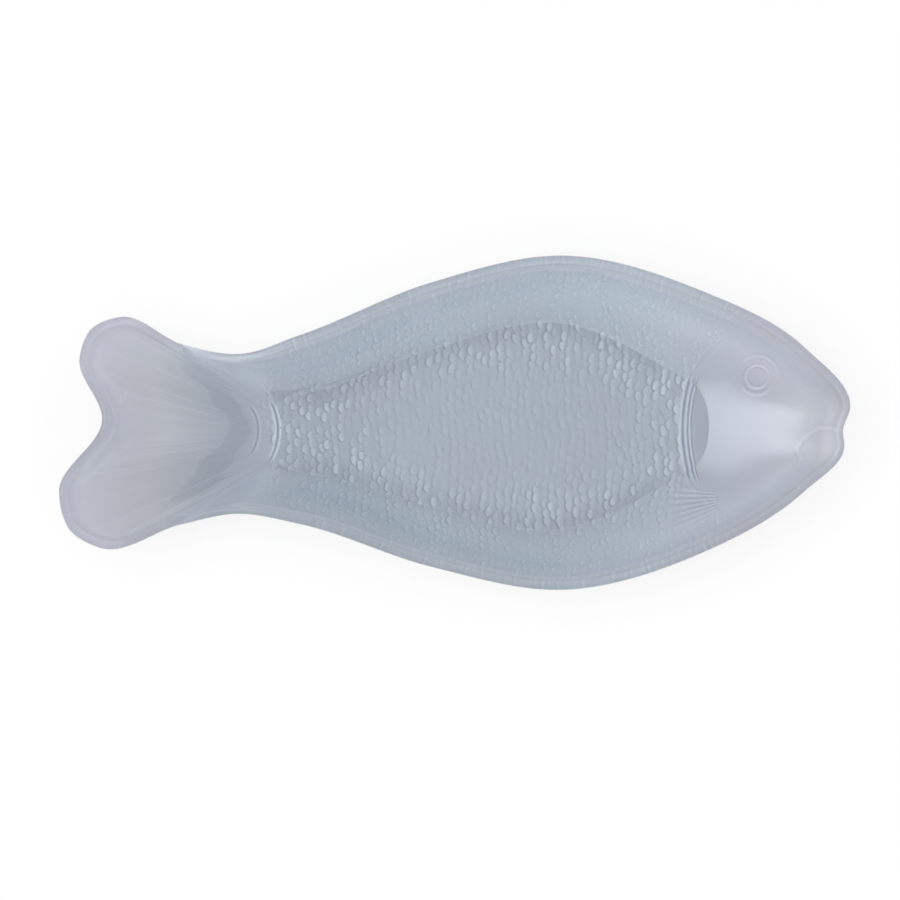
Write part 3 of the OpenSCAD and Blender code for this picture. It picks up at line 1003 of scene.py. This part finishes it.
def pearl_lacquer(group):
    """Pearl lacquer: grey-blue low on the dish, painted light up the wall, lavender at both ends of the
    fish.
    """
    material, tree, shader = new_material("pearl_back_lacquer")
    shader.inputs["Metallic"].default_value = PEARL_METALLIC
    shader.inputs["IOR"].default_value = PEARL_IOR
    place, clouds = add_clouds(tree, group, PEARL_PATCHES)
    split = tree.nodes.new("ShaderNodeSeparateXYZ")
    tree.links.new(place, split.inputs["Vector"])
    # Painted light: lighter up the wall, darker low on the dish
    painted_light_by_height = ramped(tree, remapped(tree, split.outputs["Z"], (0.0, PEARL_HEIGHT)), PEARL_PAINTED_LIGHT_BY_HEIGHT)
    colour = multiplied(tree, painted_light_by_height, ramped(tree, clouds, PEARL_CLOUDS))
    depths = (-PAINTED_SHADE_DEPTH, PAINTED_SHADE_DEPTH)
    # Painted shade in the relief's hollows and painted highlight on its crests
    painted_shading = remapped(tree, kept_value(tree, "painted_shade"), depths, (PAINTED_HIGHLIGHT_SHARE, PAINTED_SHADE_SHARE))
    dull = remapped(tree, kept_value(tree, "outside"), after=(1.0, OUTSIDE_SHARE))
    colour = multiplied(tree, colour, reckoned(tree, "MULTIPLY", painted_shading, dull))
    ends = remapped(tree, reckoned(tree, "ABSOLUTE", split.outputs["X"]), LAVENDER_FROM)
    colour = multiplied(tree, colour, LAVENDER, ends)
    # Painted sheen: the pearl is paler where it is seen aslant
    facing = tree.nodes.new("ShaderNodeLayerWeight").outputs["Facing"]
    colour = multiplied(tree, colour, remapped(tree, facing, PAINTED_SHEEN_FROM, (1.0, PAINTED_SHEEN_SHARE)))
    tree.links.new(colour, shader.inputs["Base Color"])
    tree.links.new(remapped(tree, clouds, after=PEARL_ROUGHNESS), shader.inputs["Roughness"])
    return material


TABLE_WHITE = (0.86, 0.86, 0.86, 1.0)
TABLE_ROUGHNESS = 0.9
# Share of plain white mixed into the table where it is seen straight, mirrored or through the glass
TABLE_GLOW = 0.8
# Half the table's width in metres
TABLE_HALF = 6.0


def white_table():
    """Matt white that looks nearly plain white where it is lit, and keeps the dish's shadow."""
    material, tree, shader = new_material("white_table")
    shader.inputs["Base Color"].default_value = TABLE_WHITE
    shader.inputs["Roughness"].default_value = TABLE_ROUGHNESS
    glow = tree.nodes.new("ShaderNodeEmission")
    glow.inputs["Strength"].default_value = 1.0
    rays = tree.nodes.new("ShaderNodeLightPath").outputs
    seen = reckoned(tree, "MAXIMUM", rays["Is Camera Ray"], rays["Is Glossy Ray"])
    seen = reckoned(tree, "MAXIMUM", seen, rays["Is Transmission Ray"])
    blend = tree.nodes.new("ShaderNodeMixShader")
    tree.links.new(reckoned(tree, "MULTIPLY", seen, TABLE_GLOW), blend.inputs["Fac"])
    tree.links.new(shader.outputs["BSDF"], blend.inputs[1])
    tree.links.new(glow.outputs["Emission"], blend.inputs[2])
    tree.links.new(blend.outputs["Shader"], tree.nodes["Material Output"].inputs["Surface"])
    return material


def table(material):
    """A wide flat floor under the dish."""
    corners = [(x * TABLE_HALF, y * TABLE_HALF, 0) for x, y in ((-1, -1), (1, -1), (1, 1), (-1, 1))]
    mesh = bpy.data.meshes.new("table")
    mesh.from_pydata(corners, [], [(0, 1, 2, 3)])
    mesh.materials.append(material)
    floor = bpy.data.objects.new("table", mesh)
    bpy.context.scene.collection.objects.link(floor)


# A white tent: its brightness by the angle from its axis, in degrees
TENT_AXIS = (0.040, 0.061, 0.997)
TENT = ((0.0, 1.06), (24.0, 1.06), (34.0, 1.08), (48.0, 1.08), (62.0, 0.93), (85.0, 0.83))
TENT_SPAN = 90.0
# A dark slot in the tent, which the slope of the tail mirrors as a dark band: how far it leans to the
# head, half its width, the middle and half of its length across, and the share of the light left in it
SLOT_LEAN = math.radians(18.2)
SLOT_HALF_WIDTH = 0.073
SLOT_MIDDLE = -0.03
SLOT_HALF_LENGTH = 0.45
SLOT_SHARE = 0.12
# Soft lights added to the tent, each a direction, the cosine at its edge and a strength: high over
# the tail, for the slope of the head, and a broad one from the front
LOBES = (((-0.57, 0.09, 0.82), 0.85, 1.65), ((0.0, -0.75, 0.66), 0.30, 0.15))


def towards(tree, look, direction):
    """How nearly one looks in a direction, as the cosine of the angle from it."""
    dot = tree.nodes.new("ShaderNodeVectorMath")
    dot.operation = "DOT_PRODUCT"
    dot.inputs[1].default_value = direction
    tree.links.new(look, dot.inputs[0])
    return dot.outputs["Value"]


def dark_slot(tree, look):
    """The share of the light left by the slot: less where one looks near its plane and along it."""
    off_plane = towards(tree, look, (math.cos(SLOT_LEAN), 0.0, -math.sin(SLOT_LEAN)))
    along = towards(tree, look, (0.0, 1.0, 0.0))
    near = reckoned(tree, "COMPARE", off_plane, 0.0, SLOT_HALF_WIDTH)
    in_length = reckoned(tree, "COMPARE", along, SLOT_MIDDLE, SLOT_HALF_LENGTH)
    return remapped(tree, reckoned(tree, "MULTIPLY", near, in_length), after=(1.0, SLOT_SHARE))


def studio_world():
    """The tent, bright by a ramp over the angle from its axis, plus the soft lights, less the slot."""
    world = bpy.data.worlds.new("studio")
    bpy.context.scene.world = world
    world.use_nodes = True
    tree = world.node_tree
    look = tree.nodes.new("ShaderNodeTexCoord").outputs["Generated"]
    angle = reckoned(tree, "ARCCOSINE", towards(tree, look, TENT_AXIS))
    stops = [(degrees / TENT_SPAN, (bright, bright, bright)) for degrees, bright in TENT]
    level = ramped(tree, remapped(tree, angle, (0.0, math.radians(TENT_SPAN))), stops)
    for direction, edge, strength in LOBES:
        lobe = remapped(tree, towards(tree, look, direction), (edge, 1.0), (0.0, strength), "SMOOTHSTEP")
        level = reckoned(tree, "ADD", level, lobe)
    background = tree.nodes["Background"]
    background.inputs["Color"].default_value = (1.0, 1.0, 1.0, 1.0)
    tree.links.new(reckoned(tree, "MULTIPLY", level, dark_slot(tree, look)), background.inputs["Strength"])


# Camera: lens and sensor in millimetres, places in metres
CAMERA_LENS = 237.0
CAMERA_SENSOR = 36.0
CAMERA_TARGET = Vector((-0.0028, -0.0144, 0.036))
CAMERA_ELEVATION = math.radians(86.5)
CAMERA_DISTANCE = 3.0


def camera():
    """A long lens nearly straight above the dish, with the mouth to the right."""
    lens = bpy.data.cameras.new("camera")
    lens.lens = CAMERA_LENS
    lens.sensor_width = CAMERA_SENSOR
    viewer = bpy.data.objects.new("camera", lens)
    away = Vector((0.0, -math.cos(CAMERA_ELEVATION), math.sin(CAMERA_ELEVATION)))
    viewer.location = CAMERA_TARGET + away * CAMERA_DISTANCE
    viewer.rotation_euler = (CAMERA_TARGET - viewer.location).to_track_quat("-Z", "Y").to_euler()
    bpy.context.scene.collection.objects.link(viewer)
    bpy.context.scene.camera = viewer


camera()
clouds = cloud_group()
pearl = pearl_lacquer(clouds)
glass = glass_dish(clear_glass(clouds))
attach(glass, "root")
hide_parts("glass_dish")
for film in wall_coats(pearl) + floor_coats(pearl):
    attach(film, "root")
    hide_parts("pearl_back_coat")

table(white_table())
studio_world()
bpy.context.scene.view_settings.view_transform = "Standard"
